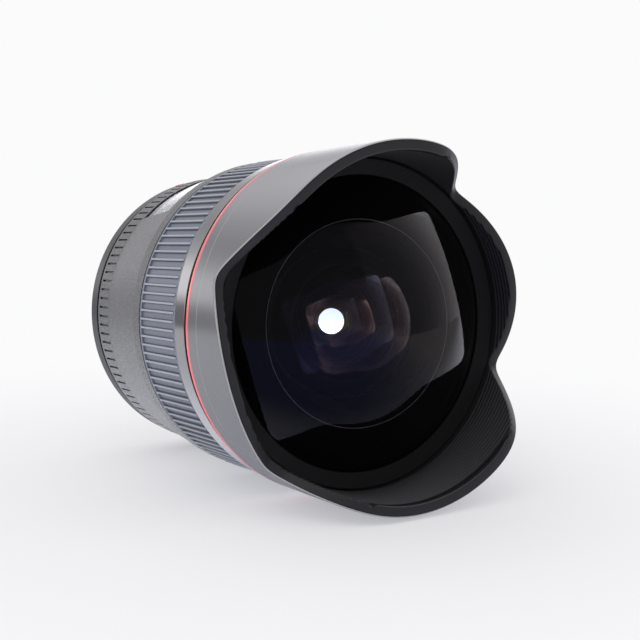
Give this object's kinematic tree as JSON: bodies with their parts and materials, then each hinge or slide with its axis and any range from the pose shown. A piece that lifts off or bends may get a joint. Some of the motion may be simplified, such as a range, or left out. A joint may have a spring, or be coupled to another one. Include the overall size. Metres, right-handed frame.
{
  "type": "wide-angle prime lens",
  "caption": "Ultra-wide fixed-focal-length camera lens with a bayonet mount, ribbed focus ring, distance window, domed front glass and fixed petal hood.",
  "frame": {"origin": "centre of the bayonet mount's flange face, on the optical axis", "axes": "+Y along the optical axis towards the camera, so the front glass is towards -Y; +Z towards the distance window and mount index, which is up in use; +X the side with the focus mode switch"},
  "size_m": [0.0796, 0.1, 0.08],
  "materials": {
    "mount_metal": "bright turned metal",
    "seal_rubber": "matte",
    "screw_steel": "satin",
    "dark_plastic": "fine matte",
    "red_plastic": "gloss",
    "contact_gold": "polished",
    "barrel_paint": "fine crinkle, satin",
    "window_clear": "clear",
    "satin_black": "satin black",
    "inner_black": "flat black",
    "bare_alloy": "machined",
    "motor_brass": "machined",
    "scale_paint": "flat black with pale marks",
    "grip_rubber": "ribbed matte",
    "red_paint": "satin red",
    "optical_glass": "coated and polished",
    "board_green": "solder mask",
    "blade_black": "flat black"
  },
  "bodies": {
    "barrel": {"bayonet_mount": "mount_metal", "mount_seal": "seal_rubber", "mount_screws": "screw_steel", "rear_ring": "dark_plastic", "index_dot": "red_plastic", "contact_block": "dark_plastic", "contact_pins": "contact_gold", "contact_screws": "screw_steel", "rear_baffle": "dark_plastic", "filter_holder": "inner_black", "main_barrel": "barrel_paint", "scale_window": "window_clear", "switch_plate": "satin_black", "barrel_core": "inner_black", "core_screws": "screw_steel", "motor_base": "bare_alloy", "motor_spring": "screw_steel", "motor_stator": "motor_brass", "motor_rotor": "bare_alloy", "guide_barrel": "bare_alloy", "rear_support": "bare_alloy", "iris_base": "dark_plastic", "iris_cover": "dark_plastic", "iris_screws": "screw_steel", "name_ring": "satin_black", "accent_ring": "red_paint", "hood": "satin_black", "hood_screws": "screw_steel", "front_cell": "inner_black", "trim_ring": "inner_black", "front_element": "optical_glass", "second_element": "optical_glass", "third_element": "optical_glass", "front_pair": "optical_glass", "main_board": "board_green"},
    "focus_ring": {"focus_ring": "inner_black", "focus_grip": "grip_rubber"},
    "focus_drive": {"output_ring": "bare_alloy", "drive_rollers": "screw_steel", "distance_scale": "scale_paint", "cam_ring": "bare_alloy"},
    "focus_cell": {"focus_cell": "inner_black", "cell_studs": "motor_brass", "cell_pair_front": "optical_glass", "cell_single": "optical_glass", "cell_pair_rear": "optical_glass", "cell_last": "optical_glass"},
    "iris_ring": {"iris_ring": "dark_plastic"},
    "mode_switch": {"switch_knob": "dark_plastic"},
    "iris_blade_1": {"iris_blade_1": "blade_black"},
    "iris_blade_2": {"iris_blade_2": "blade_black"},
    "iris_blade_3": {"iris_blade_3": "blade_black"},
    "iris_blade_4": {"iris_blade_4": "blade_black"},
    "iris_blade_5": {"iris_blade_5": "blade_black"},
    "iris_blade_6": {"iris_blade_6": "blade_black"}
  },
  "joints": [
    {"name": "focus_turn", "type": "hinge", "parent": "barrel", "child": "focus_ring", "pos_m": [0, -0.049, 0], "axis": [0, -1, 0], "range_deg": [0, 115]},
    {"name": "drive_turn", "type": "hinge", "parent": "barrel", "child": "focus_drive", "pos_m": [0, -0.029, 0], "axis": [0, -1, 0], "range_deg": [0, 57.5]},
    {"name": "cell_slide", "type": "slide", "parent": "barrel", "child": "focus_cell", "axis": [0, -1, 0], "range_m": [0, 0.003]},
    {"name": "iris_turn", "type": "hinge", "parent": "barrel", "child": "iris_ring", "pos_m": [0, -0.038, 0], "axis": [0, -1, 0], "range_deg": [0, 39]},
    {"name": "mode_slide", "type": "slide", "parent": "barrel", "child": "mode_switch", "axis": [0, 0, -1], "range_m": [0, 0.003]},
    {"name": "blade_turn_1", "type": "hinge", "parent": "barrel", "child": "iris_blade_1", "pos_m": [0.017, -0.0365, 0], "axis": [0, -1, 0], "range_deg": [0, 27]},
    {"name": "blade_turn_2", "type": "hinge", "parent": "barrel", "child": "iris_blade_2", "pos_m": [0.0085, -0.0365, 0.01472], "axis": [0, -1, 0], "range_deg": [0, 27]},
    {"name": "blade_turn_3", "type": "hinge", "parent": "barrel", "child": "iris_blade_3", "pos_m": [-0.0085, -0.0365, 0.01472], "axis": [0, -1, 0], "range_deg": [0, 27]},
    {"name": "blade_turn_4", "type": "hinge", "parent": "barrel", "child": "iris_blade_4", "pos_m": [-0.017, -0.0365, 0], "axis": [0, -1, 0], "range_deg": [0, 27]},
    {"name": "blade_turn_5", "type": "hinge", "parent": "barrel", "child": "iris_blade_5", "pos_m": [-0.0085, -0.0365, -0.01472], "axis": [0, -1, 0], "range_deg": [0, 27]},
    {"name": "blade_turn_6", "type": "hinge", "parent": "barrel", "child": "iris_blade_6", "pos_m": [0.0085, -0.0365, -0.01472], "axis": [0, -1, 0], "range_deg": [0, 27]}
  ],
  "couplings": [
    {"joint": "drive_turn", "follows": "focus_turn", "ratio": 0.5},
    {"joint": "cell_slide", "follows": "focus_turn", "m_per_rad": 0.0014946},
    {"joint": "blade_turn_1", "follows": "iris_turn", "ratio": 0.66666},
    {"joint": "blade_turn_2", "follows": "iris_turn", "ratio": 0.66666},
    {"joint": "blade_turn_3", "follows": "iris_turn", "ratio": 0.66666},
    {"joint": "blade_turn_4", "follows": "iris_turn", "ratio": 0.66666},
    {"joint": "blade_turn_5", "follows": "iris_turn", "ratio": 0.66666},
    {"joint": "blade_turn_6", "follows": "iris_turn", "ratio": 0.66666}
  ]
}
